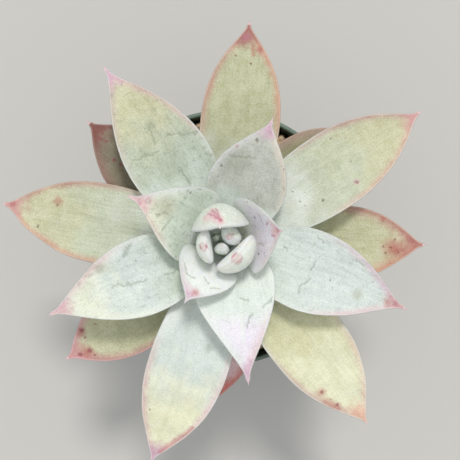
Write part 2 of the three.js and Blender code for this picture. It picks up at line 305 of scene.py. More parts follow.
# The colours, by name: first the plant's, then those of the stem, pot, soil and floor
TONES = {
    "white": "f6faf6",
    "milk": "eef3ec",
    "frost": "e2ebe3",
    "ice": "d6e0da",
    "mint": "cad5c4",
    "sage": "b8c2ac",
    "fern": "7f8a72",
    "cream": "e8ecd6",
    "butter": "e8e8c4",
    "straw": "dad8ac",
    "lemon": "c8c69c",
    "lime": "c4cbae",
    "olive": "b8b98e",
    "khaki": "a09c78",
    "drab with painted shade": "857a62",
    "plum with painted shade": "8c6464",
    "stone": "c0c2b6",
    "pearl": "e4dfe2",
    "petal": "f0d0d4",
    "mist": "f2eaf6",
    "salmon": "e6b49e",
    "brick": "b4746c",
    "shell": "ecd8c6",
    "mauve": "b89c90",
    "blush": "dcc0b4",
    "pink": "e4bac0",
    "candy": "e4a8b6",
    "rose": "d29c9c",
    "heather": "d8b0c4",
    "orchid": "bc7488",
    "coral": "c8866e",
    "rust": "b85c56",
    "garnet": "a05c5c",
    "wine": "84463f",
    "cherry": "94384c",
    "flame": "d8625a",
    "brown": "5e4436",
    "bark": "a8946c",
    "dark bark": "6d5a40",
    "green bark": "8d9063",
    "stem tip": "cfdcc4",
    "dark plastic": "22372c",
    "plastic": "2b4436",
    # the painted highlight on the pot's lip
    "plastic highlight": "9db5a4",
    "dust": "6a6a55",
    "dark earth": "2e241b",
    "earth": "5a4632",
    "dark grit": "6f5339",
    "grit": "c4a67a",
    "pale grit": "d9c49c",
    "brown grit": "54402e",
    "pumice painted lit": "f6d9b8",
    "floor": "c9c7c2",
}


class Look(NamedTuple):
    """The colours of one leaf: its body from foot to tip, the bands inside its margins and its tip.

    Left and right are those of someone who looks from the foot to the tip. Lengths are millimetres.
    """
    low: str
    middle: str
    high: str
    left: str
    right: str
    tip: str
    rim: str
    blush: float
    band: float = 2.8
    band_from: float = 0.4
    tip_reach: float = 8.0
    farina: float = 0.25
    glow: float = 0.25
    ring: float = 0
    wear: float = 0.15


LOOKS = [
    Look("mint", "mint", "mint", "mint", "mint", "mint", "mint", 0, tip_reach=1, glow=1),
    # painted light: the heart and bud leaves are pale with farina and made whiter still, as if lit down in
    # the shaded cup
    Look("frost", "white", "white", "frost", "frost", "petal", "milk", 0, tip_reach=1.5, glow=1),
    Look("frost", "white", "white", "frost", "frost", "candy", "milk", 0, tip_reach=1.5, glow=1, ring=1.0),
    Look("white", "white", "white", "milk", "milk", "candy", "milk", 0, tip_reach=1.9, glow=1, ring=1.25),
    Look("white", "white", "white", "milk", "milk", "candy", "milk", 0, tip_reach=2.4, glow=1, ring=1.65),
    Look("frost", "milk", "milk", "frost", "milk", "milk", "milk", 0, tip_reach=1, glow=0.7),
    Look("milk", "white", "milk", "milk", "heather", "heather", "milk", 0.65, 3.4, 0.5, 6.0, glow=0.7),
    # painted light: leaf 07's body and left margin are lighter than its own colour, as if lit where the
    # buds and hood shade it
    Look("milk", "mist", "mist", "white", "petal", "pink", "white", 0.8, 3.4, 0.4, 6.0, glow=0.7, wear=0.3),
    # painted light: leaf 08's right margin is white, lighter than its own colour, where it faces away from
    # the light
    Look("milk", "mint", "cream", "blush", "white", "pink", "milk", 0.8, 3.4, 0.4, 7.0, wear=0.5),
    Look("milk", "frost", "mist", "pink", "frost", "heather", "milk", 0.65, 3.8, 0.5, 8.0),
    Look("frost", "stone", "stone", "pearl", "shell", "heather", "milk", 0.8, 3.0, 0.3, 7.0, wear=0.4),
    Look("mint", "ice", "cream", "cream", "pink", "pink", "milk", 0.8, 3.4, 0.4, 9.0, wear=0.3),
    Look("frost", "ice", "ice", "heather", "pink", "rose", "milk", 0.9, 2.8, 0.45, 8.0, wear=0.3),
    Look("frost", "sage", "lemon", "mauve", "rose", "heather", "milk", 0.8, 2.8, 0.4, 9.0, wear=0.4),
    Look("white", "ice", "butter", "pink", "rose", "heather", "milk", 0.8, 3.0, 0.35, 8.0),
    Look("milk", "lime", "lemon", "brick", "coral", "rose", "milk", 0.9, 2.8, 0.35, 8.0),
    Look("white", "lime", "lemon", "coral", "brick", "rose", "shell", 0.9, 2.6, 0.3, 9.0),
    Look("lemon", "straw", "butter", "salmon", "brick", "salmon", "milk", 0.75, 2.8, 0.4, 9.0),
    Look("white", "olive", "olive", "brick", "coral", "garnet", "shell", 0.9, 3.0, 0.3, 10.0),
    Look("olive", "olive", "lemon", "brick", "rose", "rose", "petal", 0.9, 3.2, 0.35, 10.0),
    Look("lime", "lemon", "lemon", "brick", "coral", "brick", "shell", 0.95, 4.0, 0.3, 11.0),
    # painted shade: leaf 21's tones are darkened for the shade it lies in
    Look("khaki", "drab with painted shade", "drab with painted shade", "wine", "plum with painted shade", "wine", "mauve", 0.6, 4.0, 0.4, 9.0, 0.08),
    # painted light: leaf 22's red margins and tip are brighter than their own colour, as if lit where the
    # leaf lies in shade
    Look("olive", "coral", "petal", "flame", "flame", "flame", "blush", 0.85, 4.0, 0.3, 10.0, 0.1),
    Look("khaki", "khaki", "khaki", "mauve", "khaki", "mauve", "blush", 0.8, 4.0, 0.4, 9.0, 0.1),
]


class Mark(NamedTuple):
    """A mark on a leaf: where it is, as shares along and across it, its radius in millimetres and,
    where it is a line, where that ends.
    """
    along: float
    across: float
    radius: float
    end_along: float = 0
    end_across: float = 0
    on_back: bool = False


class MarkKind(NamedTuple):
    tone: str
    strength: float
    softness: float
    depth: float = 0


MARK_KINDS = {
    "dot": MarkKind("wine", 0.75, 1.2, 0.05),
    "speck": MarkKind("brown", 0.6, 1.2, 0.05),
    "pale": MarkKind("milk", 0.6, 0.9),
    "flush": MarkKind("rust", 0.5, 1.6),
    "bruise": MarkKind("cherry", 0.7, 1.4, 0.03),
    "orchid": MarkKind("orchid", 0.55, 1.4),
    "stain": MarkKind("pink", 0.6, 1.6),
    "scuff": MarkKind("khaki", 0.4, 1.5),
    "smudge": MarkKind("fern", 0.35, 1.6),
    # painted shade: a darker line along each crease, where shade falls in it; the dent itself is a real
    # bump
    "shaded crease": MarkKind("fern", 0.4, 2.0, 0.15),
}

# The marks of each leaf, by kind, in the order in which they are laid on
MARKS = [
    (5, "stain", (0.95, -0.1, 1.5, 0.81, 0.25, True), (0.93, 0, 1.2, 0.84, 0.55, True)),
    (5, "orchid",
     (0.95, -0.2, 0.35, 0.8, 0.08, True), (0.95, -0.15, 0.4, 0.8, 0.25, True),
     (0.95, -0.1, 0.35, 0.82, 0.42, True)),
    (6, "shaded crease",
     (0.62, -0.75, 0.38, 0.74, -0.55), (0.74, -0.55, 0.3, 0.7, -0.2), (0.58, 0.05, 0.38, 0.64, 0.4),
     (0.72, 0.6, 0.33, 0.66, 0.8)),
    (6, "flush", (0.87, 0.3, 1.3)),
    (7, "speck", (0.59, 0.92, 0.4), (0.55, 0.43, 0.4)),
    (7, "shaded crease", (0.66, 0.6, 0.38, 0.7, 0.3)),
    (7, "stain", (0.9, 0.1, 2.2)),
    (7, "orchid", (0.95, 0.1, 1.0), (0.87, -0.3, 0.4, 0.8, -0.2), (0.8, 0.4, 0.35, 0.74, 0.25)),
    (7, "dot", (0.48, -0.54, 0.45), (0.62, -0.6, 0.3)),
    (7, "shaded crease", (0.5, -0.2, 0.45, 0.6, -0.3)),
    (8, "scuff", (0.7, -0.1, 4.0)),
    (8, "orchid", (0.87, -0.2, 1.0)),
    (8, "pale", (0.87, -0.2, 0.6)),
    (8, "orchid", (0.93, 0.7, 0.7)),
    (8, "speck", (0.56, -0.77, 0.35), (0.5, -0.92, 0.25), (0.47, -0.97, 0.25)),
    (8, "shaded crease", (0.62, 0.59, 0.38, 0.58, 0.1), (0.76, 0.3, 0.38, 0.66, 0.1)),
    (9, "pale", (0.5, 0.1, 0.7, 0.78, 0)),
    (9, "shaded crease",
     (0.52, 0.31, 0.45, 0.49, 0.1), (0.6, 0.35, 0.38, 0.7, 0.28), (0.58, 0.66, 0.38, 0.52, 0.88)),
    (10, "smudge", (0.62, 0.45, 4.5)),
    (10, "orchid", (0.75, 0.87, 0.7)),
    (10, "speck", (0.85, 0.6, 0.5, 0.83, 0.4)),
    (10, "shaded crease", (0.66, 0.88, 0.38, 0.71, 0.06)),
    (10, "speck", (0.56, 0.81, 0.5), (0.72, -0.96, 0.4)),
    (11, "shaded crease", (0.54, -0.69, 0.6, 0.47, -0.9)),
    (11, "scuff", (0.68, -0.73, 1.7)),
    (11, "speck", (0.48, -0.43, 0.4)),
    (11, "shaded crease", (0.67, 0, 0.38, 0.47, 0.13), (0.34, 0.25, 0.38, 0.26, 0.31)),
    (12, "shaded crease",
     (0.44, -0.54, 0.38, 0.49, -0.19), (0.48, 0, 0.38, 0.48, 0.19), (0.29, 0.37, 0.38, 0.32, 0.31),
     (0.46, 0.85, 0.38, 0.48, 0.74), (0.69, 0.73, 0.38, 0.74, 0.81)),
    (12, "speck", (0.6, -0.06, 0.4)),
    (12, "scuff", (0.76, -0.2, 1.8)),
    (12, "flush", (0.92, -0.1, 1.6)),
    (12, "orchid", (0.96, 0.1, 1.1)),
    (13, "shaded crease",
     (0.57, -0.31, 0.45, 0.51, -0.94), (0.57, 0.73, 0.45, 0.54, 0.06), (0.67, -0.06, 0.38, 0.58, 0.06),
     (0.41, -0.06, 0.38, 0.3, -0.06), (0.4, -0.81, 0.38, 0.37, -1)),
    (13, "smudge", (0.67, -0.13, 1.7)),
    (14, "smudge", (0.44, 0.37, 1.4)),
    (14, "speck", (0.79, -0.73, 0.4)),
    (14, "flush", (0.95, 0.7, 1.2, 0.8, 0.95)),
    (15, "stain", (0.61, -0.59, 1.1)),
    (15, "dot", (0.61, -0.59, 0.6)),
    (15, "pale", (0.61, -0.59, 0.2)),
    (15, "speck", (0.64, -0.06, 0.35)),
    (15, "dot", (0.62, 0.73, 0.4)),
    (15, "speck",
     (0.35, 0.13, 0.3), (0.39, -0.06, 0.3), (0.35, -0.19, 0.35), (0.36, -0.37, 0.35),
     (0.44, -0.49, 0.4)),
    (16, "flush", (0.76, -0.43, 1.6)),
    (16, "speck", (0.76, -0.31, 0.4), (0.83, 0.59, 0.45)),
    (16, "flush", (0.97, -0.4, 1.2)),
    (17, "flush", (0.77, -0.66, 1.7)),
    (17, "bruise", (0.77, -0.64, 0.65)),
    (17, "dot", (0.82, -0.64, 0.3)),
    (17, "flush", (0.87, -0.78, 1.5, 0.82, -0.85)),
    (17, "bruise", (0.86, -0.7, 0.65)),
    (18, "dot", (0.85, 0.48, 0.45), (0.82, -0.19, 0.4)),
    (18, "flush", (0.91, -0.36, 0.7, 0.86, -0.31)),
    (18, "orchid", (0.94, 0.2, 1.6)),
    (18, "flush", (0.89, -0.75, 1.5)),
    (19, "flush", (0.86, -0.7, 1.7)),
    (19, "bruise", (0.85, -0.72, 0.8), (0.86, -0.37, 0.45)),
    (19, "flush", (0.9, 0.35, 2.2)),
    (19, "bruise", (0.88, 0.31, 1.0), (0.94, 0.4, 0.9), (0.87, 0.63, 0.5), (0.77, -0.43, 0.5)),
    (20, "flush", (0.83, -0.2, 3.4), (0.86, -0.25, 2.6)),
    (20, "dot",
     (0.83, -0.19, 0.55), (0.87, -0.48, 0.5), (0.8, -0.37, 0.4), (0.85, 0.19, 0.45),
     (0.79, -0.13, 0.4)),
    (20, "flush", (0.78, 0.87, 1.0)),
    (21, "bruise",
     (0.9, 0.3, 0.8), (0.91, -0.06, 0.5), (0.86, 0.12, 0.7), (0.75, 0.37, 0.7), (0.7, 0.31, 0.5)),
]


def linear(name):
    """The linear RGBA of a tone."""
    text = TONES[name]
    channels = [int(text[i:i + 2], 16) / 255 for i in (0, 2, 4)]
    return [c / 12.92 if c <= 0.04045 else ((c + 0.055) / 1.055) ** 2.4 for c in channels] + [1.0]


# Leaf form, in numpy: s runs from 0 at the foot to 1 at the tip, u from -1 to 1 across

def smoothstep(x, low, high):
    t = np.clip((x - low) / (high - low), 0, 1)
    return t * t * (3 - 2 * t)


def stem_axis(height):
    share = (height - STEM_FOOT[2]) / (STEM_TOP[2] - STEM_FOOT[2])
    return STEM_FOOT + (STEM_TOP - STEM_FOOT) * share


def stem_radius(height):
    share = np.clip((height - STEM_TAPER_START) / (STEM_TOP[2] - STEM_TAPER_START), 0, 1)
    return STEM_RADIUS - (STEM_RADIUS - STEM_TIP_RADIUS) * share ** 1.3


def mucro_scale(leaf):
    return min(1, leaf.width / MUCRO_FULL_WIDTH)


def half_width(leaf, s):
    form = AGES[leaf.age]
    rising = form.base + (1 - form.base) * np.sin(np.pi / 2 * np.clip(s / form.peak, 0, 1))
    t = np.clip((s - form.peak) / (1 - form.peak), 0, 1)
    narrowed = leaf.width / 2 * (1 - t ** form.shoulder) ** form.point
    tapering = np.hypot(MUCRO_RADIUS * mucro_scale(leaf), narrowed)
    return np.where(s < form.peak, leaf.width / 2 * rising, tapering)


def thickness(leaf, s):
    fullness = half_width(leaf, s) / (leaf.width / 2)
    return np.maximum(LEAF_EDGE, leaf.width * AGES[leaf.age].thick * fullness ** FLESH_POWER)


def midrib(leaf, order, s):
    """Points and unit tangents of the line along the middle of the leaf's face."""
    foot = FIRST_LEAF_HEIGHT - LEAF_STEP * order
    azimuth = math.radians(leaf.azimuth)
    rise = math.radians(leaf.rise)
    out = np.array((math.cos(azimuth), math.sin(azimuth), 0))
    side = np.array((-out[1], out[0], 0))
    start = stem_axis(foot) + out * (stem_radius(foot) + FOOT_CLEARANCE)
    end = stem_axis(foot) + out * leaf.reach
    end[2] = POT_HEIGHT + leaf.tip
    lead = 0.5 * np.linalg.norm(end - start)
    bend = start + out * lead * math.cos(rise) + side * leaf.bow
    bend[2] = foot + lead * math.sin(rise)
    s = s[:, None]
    points = start * (1 - s) ** 2 + bend * 2 * s * (1 - s) + end * s ** 2
    tangents = (bend - start) * (1 - s) + (end - bend) * s
    return points, tangents / np.linalg.norm(tangents, axis=1, keepdims=True)


def ripple(x, y, length, waves, rng):
    """Smooth seeded unevenness of about -1 to 1, with features of the given length."""
    total = np.zeros(np.broadcast(x, y).shape)
    for _ in range(waves):
        turn = rng.uniform(0, 2 * math.pi)
        pitch = 2 * math.pi / (length * rng.uniform(0.7, 1.6))
        phase = rng.uniform(0, 2 * math.pi)
        total += np.sin(pitch * (x * math.cos(turn) + y * math.sin(turn)) + phase)
    return total / math.sqrt(waves)


def section_columns():
    """The closed section: u, where it lies round the edge, and whether it is face, edge or back."""
    columns = []
    for u in np.sin(np.linspace(-np.pi / 2, np.pi / 2, FACE_COLUMNS)):
        columns.append(("face", u, 0.0))
    for turn in np.linspace(np.pi / 2, -np.pi / 2, EDGE_COLUMNS + 2)[1:-1]:
        columns.append(("edge", 1.0, turn))
    for u in np.sin(np.linspace(np.pi / 2, -np.pi / 2, BACK_COLUMNS)):
        columns.append(("back", u, 0.0))
    for turn in np.linspace(-np.pi / 2, np.pi / 2, EDGE_COLUMNS + 2)[1:-1]:
        columns.append(("edge", -1.0, turn))
    return columns


COLUMNS = section_columns()


class Blade(NamedTuple):
    """A leaf's midrib in rows: the share from foot to tip, places, directions and run in millimetres."""
    s: np.ndarray
    points: np.ndarray
    along: np.ndarray
    side: np.ndarray
    up: np.ndarray
    run: np.ndarray


def make_blade(leaf, order):
    coarse, _ = midrib(leaf, order, np.linspace(0, 1, MIDRIB_STEPS))
    length = np.linalg.norm(np.diff(coarse, axis=0), axis=1).sum()
    rows = int(np.clip(length / ROW_LENGTH, *ROW_LIMITS))
    s = 1 - (1 - np.linspace(0, 1, rows)) ** ROW_CROWDING
    points, along = midrib(leaf, order, s)
    azimuth = math.radians(leaf.azimuth)
    level = np.array((-math.sin(azimuth), math.cos(azimuth), 0))
    up = np.cross(along, level)
    up /= np.linalg.norm(up, axis=1, keepdims=True)
    side = np.cross(up, along)
    steps = np.linalg.norm(np.diff(points, axis=0), axis=1)
    run = np.concatenate([[0], np.cumsum(steps)])
    return Blade(s, points, along, side, up, run)


def plain_sections(leaf, s, half, grown):
    """Across and up of each point of the leaf's sections, and how far it is on the back."""
    form = AGES[leaf.age]
    flesh = thickness(leaf, s) - LEAF_EDGE
    crown = form.crown * leaf.width * (half / (leaf.width / 2)) ** FLESH_POWER * grown
    edge_radius = np.minimum(LEAF_EDGE / 2, half)
    inner = half - edge_radius
    x, y, back = np.zeros((3, len(s), len(COLUMNS)))
    for column, (part, u, turn) in enumerate(COLUMNS):
        if part == "face":
            x[:, column] = u * inner
            y[:, column] = crown * (1 - u * u) ** form.round
        elif part == "back":
            x[:, column] = u * inner
            y[:, column] = -2 * edge_radius - flesh * (1 - u * u) ** form.round
            back[:, column] = 1
        else:
            x[:, column] = u * (inner + edge_radius * math.cos(turn))
            y[:, column] = edge_radius * (math.sin(turn) - 1)
            back[:, column] = 0.5 - 0.5 * math.sin(turn)
    return x, y, back


def unevenness(form, s, x, far, across, back, rng):
    """Swellings of both faces, waves of the margins and a gutter along the middle of the upper face."""
    body = smoothstep(s, *UNEVEN_FROM)[:, None] * (1 - smoothstep(s, *UNEVEN_TO))[:, None]
    swell = SWELL_HEIGHT * ripple(x, far, SWELL_LENGTH, 5, rng)
    waver = WAVER_HEIGHT * ripple(far, across * 3, WAVER_LENGTH, 4, rng) * across ** 4
    gutter = -GUTTER_DEPTH * np.exp(-(x / GUTTER_WIDTH) ** 2) * (1 - smoothstep(s, *GUTTER_TO))[:, None]
    return body * (swell + waver + gutter * (1 - back)) * form.uneven


def mucro_rings(tip_ring, mucro):
    """The leaf's last section repeated along its mucro: it narrows in a flare and closes in a round end."""
    centre = tip_ring.mean(axis=0)
    rings = []
    for row in range(1, MUCRO_ROWS + 1):
        share = row / MUCRO_ROWS
        flared = (1 - MUCRO_BLUNT) * (1 - share) ** MUCRO_FLARE
        rounded = MUCRO_BLUNT * math.sqrt(1 - share ** 2)
        size = max(MUCRO_END, rounded + flared)
        rings.append(centre + (tip_ring - centre) * size + mucro * share)
    return rings


def tube_faces(ring, rows):
    """The faces of closed rings in rows, with a cap at each end."""
    faces = []
    for row in range(rows - 1):
        for column in range(ring):
            following = (column + 1) % ring
            a, b = row * ring + column, row * ring + following
            faces.append((a, a + ring, b + ring, b))
    faces.append(tuple(range(ring)))
    faces.append(tuple(range((rows - 1) * ring, rows * ring))[::-1])
    return faces


def leaf_mesh(leaf, order):
    """Vertices, faces and the shader's attributes of one finely made leaf."""
    form = AGES[leaf.age]
    blade = make_blade(leaf, order)
    s = blade.s
    half = half_width(leaf, s)
    grown = smoothstep(s, 0, form.peak)
    slant = np.cos(np.arctan(np.gradient(half, blade.run)))
    x, y, back = plain_sections(leaf, s, half, grown)
    across = x / half[:, None]
    far = blade.run[:, None] * np.ones_like(x)
    y += unevenness(form, s, x, far, across, back, random.Random(LEAF_SEED + order))
    cup = leaf.cup * half * grown
    y += cup[:, None] * across ** 2

    place = blade.points[:, None] + blade.side[:, None] * x[..., None] + blade.up[:, None] * y[..., None]
    mucro = blade.along[-1] * MUCRO_LENGTH * mucro_scale(leaf)
    vertices = np.concatenate([place.reshape(-1, 3)] + mucro_rings(place[-1], mucro))
    on_mucro = slice(x.size, None)

    def padded(values):
        return np.concatenate([values, np.repeat(values[-1:], MUCRO_ROWS, axis=0)]).reshape(-1)

    distance = (half[:, None] - np.abs(x)) * slant[:, None]
    share = s[:, None] * np.ones_like(x)
    apart = LEAF_APART * order + BACK_APART * padded(back)
    leaf_place = np.stack([padded(share), padded(across), padded(distance)], axis=1)
    leaf_place[on_mucro, 0] = MUCRO_SHARE
    from_tip = np.linalg.norm(vertices - place[-1].mean(axis=0), axis=1)
    from_tip[on_mucro] *= -1
    attributes = {
        "leaf_mm": np.stack([padded(x), padded(far), apart], axis=1),
        "leaf_place": leaf_place,
        "leaf_back": padded(back),
        "leaf_tip": from_tip,
    }
    return vertices, tube_faces(len(COLUMNS), len(s) + MUCRO_ROWS), attributes


def placed(name, data):
    """A new object in the scene."""
    made = bpy.data.objects.new(name, data)
    bpy.context.scene.collection.objects.link(made)
    return made


def make_object(name, vertices, faces, attributes=None, smooth=True):
    """A mesh object from points in millimetres, with float or vector attributes for its material."""
    mesh = bpy.data.meshes.new(name)
    mesh.from_pydata((np.asarray(vertices) * MM).tolist(), [], faces)
    for key, values in (attributes or {}).items():
        values = np.asarray(values, np.float32)
        kind, field = ("FLOAT_VECTOR", "vector") if values.ndim == 2 else ("FLOAT", "value")
        mesh.attributes.new(key, kind, "POINT").data.foreach_set(field, values.reshape(-1))
    mesh.polygons.foreach_set("use_smooth", [smooth] * len(mesh.polygons))
    mesh.validate()
    mesh.update()
    return placed(name, mesh)


def finish_piece(made, material, slot, node):
    made.data.materials.append(material)
    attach(made, "root")
    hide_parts(node)


class Shader:
    """Builds a material's nodes. Its colour is painted over, step by step.

    An input is a number, a tuple, a tone's name or a node's output.
    """

    def __init__(self, name, colour):
        self.colour = colour
        self.material = bpy.data.materials.new(name)
        self.material.use_nodes = True
        self.nodes = self.material.node_tree.nodes
        self.links = self.material.node_tree.links
        self.surface = self.nodes["Principled BSDF"]

    def put(self, socket, value):
        if isinstance(value, bpy.types.NodeSocket):
            self.links.new(value, socket)
        elif isinstance(value, str):
            socket.default_value = linear(value)
        else:
            socket.default_value = value

    def node(self, kind, inputs, output=0, **settings):
        made = self.nodes.new("ShaderNode" + kind)
        for key, setting in settings.items():
            setattr(made, key, setting)
        for key, value in inputs.items():
            self.put(made.inputs[key], value)
        return made.outputs[output]

    def attribute(self, name):
        return self.node("Attribute", {}, "Vector", attribute_name=name)

    def number(self, name):
        return self.node("Attribute", {}, "Fac", attribute_name=name)

    def parts(self, vector):
        made = self.nodes.new("ShaderNodeSeparateXYZ")
        self.put(made.inputs[0], vector)
        return made.outputs[:]

    def math(self, operation, a, b=0.0):
        return self.node("Math", {0: a, 1: b}, operation=operation)

    def add(self, *values):
        total = values[0]
        for value in values[1:]:
            total = self.math("ADD", total, value)
        return total

    def times(self, *values):
        product = values[0]
        for value in values[1:]:
            product = self.math("MULTIPLY", product, value)
        return product

    def vector(self, operation, a, b):
        return self.node("VectorMath", {0: a, 1: b}, operation=operation)

    def dot(self, a, b):
        """The dot product, held from 0 to 1."""
        product = self.node("VectorMath", {0: a, 1: b}, "Value", operation="DOT_PRODUCT")
        return self.node("Clamp", {"Value": product})

    def length(self, a):
        return self.node("VectorMath", {0: a}, "Value", operation="LENGTH")

    def mix(self, share, a, b):
        """One colour mixed into another: a Mix node's colours are its inputs 6 and 7 and its output 2."""
        return self.node("Mix", {0: share, 6: a, 7: b}, 2, data_type="RGBA")

    def scaled(self, vector, factor):
        return self.node("VectorMath", {0: vector, "Scale": factor}, operation="SCALE")

    def smooth(self, value, low, high, least=0.0, most=1.0):
        inputs = {"Value": value, "From Min": low, "From Max": high, "To Min": least, "To Max": most}
        return self.node("MapRange", inputs, interpolation_type="SMOOTHSTEP")

    def object_mm(self):
        """The place on the object in millimetres."""
        return self.scaled(self.node("TexCoord", {}, "Object"), 1 / MM)

    def noise(self, vector, scale, detail, roughness=0.5):
        inputs = {"Vector": vector, "Scale": scale, "Detail": detail, "Roughness": roughness}
        return self.node("TexNoise", inputs)

    def stretched_noise(self, vector, size, detail):
        return self.noise(self.vector("MULTIPLY", vector, size), 1.0, detail)

    def shaken(self, vector, scale, most):
        """The vector moved about in x and y by a noise."""
        noise = self.node("TexNoise", {"Vector": vector, "Scale": scale, "Detail": 2.0}, "Color")
        centred = self.vector("SUBTRACT", noise, (0.5, 0.5, 0.5))
        return self.vector("ADD", vector, self.vector("MULTIPLY", centred, (most, most, 0)))

    def bump(self, height, depth):
        """The normal of a height from 0 to 1 that stands up by depth millimetres."""
        return self.node("Bump", {"Height": height, "Distance": depth * MM})

    def paint(self, mask, tone):
        self.colour = self.mix(mask, self.colour, tone)

    def set(self, **inputs):
        """Gives the surface its colour and these inputs."""
        for key, value in {"Base Color": self.colour, **inputs}.items():
            self.put(self.surface.inputs[key.replace("_", " ")], value)


def mark_place(order, along, across, on_back):
    """A place on a leaf in the millimetres of its leaf_mm attribute."""
    leaf = LEAVES[order]
    points, _ = midrib(leaf, order, np.linspace(0, along, MARK_STEPS))
    run = np.linalg.norm(np.diff(points, axis=0), axis=1).sum()
    apart = LEAF_APART * order + BACK_APART * on_back
    return np.array((across * float(half_width(leaf, along)), run, apart))


def marks_of(order):
    """A leaf's marks, each with its kind."""
    for leaf, kind, *places in MARKS:
        if leaf == order:
            for place in places:
                yield MARK_KINDS[kind], Mark(*place)


def mark_masks(shader, spot, order):
    """The masks of a leaf's marks, with the kind of each."""
    moved = shader.shaken(spot, 0.7, 1.8)
    bent = shader.shaken(moved, 0.16, 6)
    for kind, mark in marks_of(order):
        place = mark_place(order, mark.along, mark.across, mark.on_back)
        offset = shader.vector("SUBTRACT", bent if kind.depth and mark.end_along else moved, tuple(place))
        if mark.end_along:
            reach = mark_place(order, mark.end_along, mark.end_across, mark.on_back) - place
            travel = shader.dot(offset, tuple(reach / (reach @ reach)))
            offset = shader.vector("SUBTRACT", offset, shader.scaled(tuple(reach), travel))
        distance = shader.length(offset)
        blur = kind.softness * mark.radius / 2
        mask = shader.smooth(distance, mark.radius + blur, mark.radius - blur, 0, kind.strength)
        yield kind, mask


class LeafShader(Shader):
    """The finish of one leaf, laid on from its body to its pale rim.

    Broad, patch, streak and grain are noises from -1 to 1, from the widest to the finest.
    """

    def __init__(self, order, look):
        super().__init__(f"leaf_{order:02d}", look.low)
        self.order = order
        self.look = look
        self.spot = self.attribute("leaf_mm")
        self.share, self.across, self.edge = self.parts(self.attribute("leaf_place"))
        self.back = self.number("leaf_back")
        self.tip = self.number("leaf_tip")
        self.broad = self.smooth(self.noise(self.spot, 0.08, 2), 0.2, 0.8, -1)
        self.patch = self.smooth(self.noise(self.spot, 0.26, 5, 0.6), 0.32, 0.68, -1)
        self.streak = self.smooth(self.stretched_noise(self.spot, (0.6, 0.07, 1), 4), 0.32, 0.68, -1)
        self.grain = self.smooth(self.noise(self.spot, 1.5, 4, 0.65), 0.3, 0.7, -1)
        self.drifted = self.add(self.share, self.weigh((self.broad, 0.09), (self.patch, 0.02)))
        self.relief = self.add(self.times(self.grain, 0.5), self.streak)
        powder = self.weigh((self.patch, 0.5), (self.streak, 0.2), (self.grain, 0.8))
        self.farina = self.smooth(powder, -1.5, 1.5, 0, look.farina)

    def weigh(self, *weights):
        """The sum of noises, each times its weight."""
        return self.add(*(self.times(noise, weight) for noise, weight in weights))

    def from_band(self, least, most):
        """Goes from one value to the other where the coloured margins start."""
        start = self.look.band_from
        return self.smooth(self.drifted, start, start + BAND_FADE, least, most)

    def lay_body(self):
        self.paint(self.smooth(self.drifted, 0.22, 0.5), self.look.middle)
        self.paint(self.smooth(self.drifted, 0.5, 0.8), self.look.high)
        self.paint(self.farina, "white")

    def blush_margins(self):
        look = self.look
        inward = self.add(self.edge, self.weigh((self.patch, 0.35), (self.broad, 0.5), (self.grain, 0.25)))
        inside = self.smooth(inward, look.band * 1.3, -1.2)
        self.paint(self.times(inside, 0.6), look.rim)
        fade = self.from_band(0, look.blush)
        for tone, side in ((look.left, 1), (look.right, -1)):
            self.paint(self.times(fade, inside, self.smooth(self.across, 0, side * 0.2)), tone)

    def colour_tip(self):
        reach = self.look.tip_reach
        from_tip = self.add(self.tip, self.times(self.patch, reach * 0.2))
        self.paint(self.smooth(from_tip, 1.3 * reach, 0.35 * reach, 0, 0.85), self.look.tip)
        if self.look.ring:
            self.ring_callus(from_tip)

    def ring_callus(self, from_tip):
        """A pale callus at the tip, with a broken pink outline."""
        ring = self.look.ring
        self.paint(self.smooth(from_tip, ring * 0.7, 0, 0, 0.8), "petal")
        uneven = self.smooth(self.noise(self.spot, 0.7, 2), 0.3, 0.7, -0.6, 0.6)
        away = self.math("ABSOLUTE", self.add(from_tip, -ring, uneven))
        broken = self.smooth(self.patch, -0.8, 0.6, 0.35, 0.95)
        self.paint(self.times(self.smooth(away, 1.0, 0.1), broken), "orchid")

    def lay_marks(self):
        self.paint(self.times(self.back, 0.35), "sage")
        for kind, mask in mark_masks(self, self.spot, self.order):
            self.paint(mask, kind.tone)
            if kind.depth:
                self.relief = self.add(self.relief, self.times(mask, -kind.depth / LEAF_RELIEF))

    def weather(self):
        """Worn patches, fine specks and a mottled brightness, held under the brightest white."""
        worn = self.noise(self.shaken(self.spot, 0.3, 4), 0.55, 4, 0.7)
        self.paint(self.smooth(worn, 0.52, 0.7, 0, self.look.wear), "fern")
        self.paint(self.smooth(self.noise(self.spot, 1.9, 2), 0.58, 0.72, 0, 0.16), "fern")
        mottle = self.weigh((self.patch, 0.03), (self.streak, 0.02), (self.grain, 0.06))
        self.colour = self.scaled(self.colour, self.add(mottle, 1.0))
        self.colour = self.vector("MINIMUM", self.colour, WHITEST)

    def pale_rim(self):
        rim = self.smooth(self.add(self.edge, self.times(self.patch, 0.1)), 0.75, 0.35, 0, 0.75)
        self.paint(self.times(rim, self.from_band(1, 0.65)), self.look.rim)
        self.paint(self.smooth(self.tip, 0.3, -0.7, 0, 0.8), "petal")


def leaf_material(order, look):
    shader = LeafShader(order, look)
    shader.lay_body()
    shader.blush_margins()
    shader.colour_tip()
    shader.lay_marks()
    shader.weather()
    shader.pale_rim()
    shader.set(
        Roughness=shader.smooth(shader.farina, 0, 0.3, 0.48, 0.64),
        Normal=shader.bump(shader.relief, LEAF_RELIEF),
        Specular_IOR_Level=LEAF_SPECULAR,
        Subsurface_Weight=look.glow,
        Subsurface_Radius=GLOW_RADII,
        Subsurface_Scale=GLOW_DEPTH * look.glow * MM,
    )
    return shader.material


# Pot

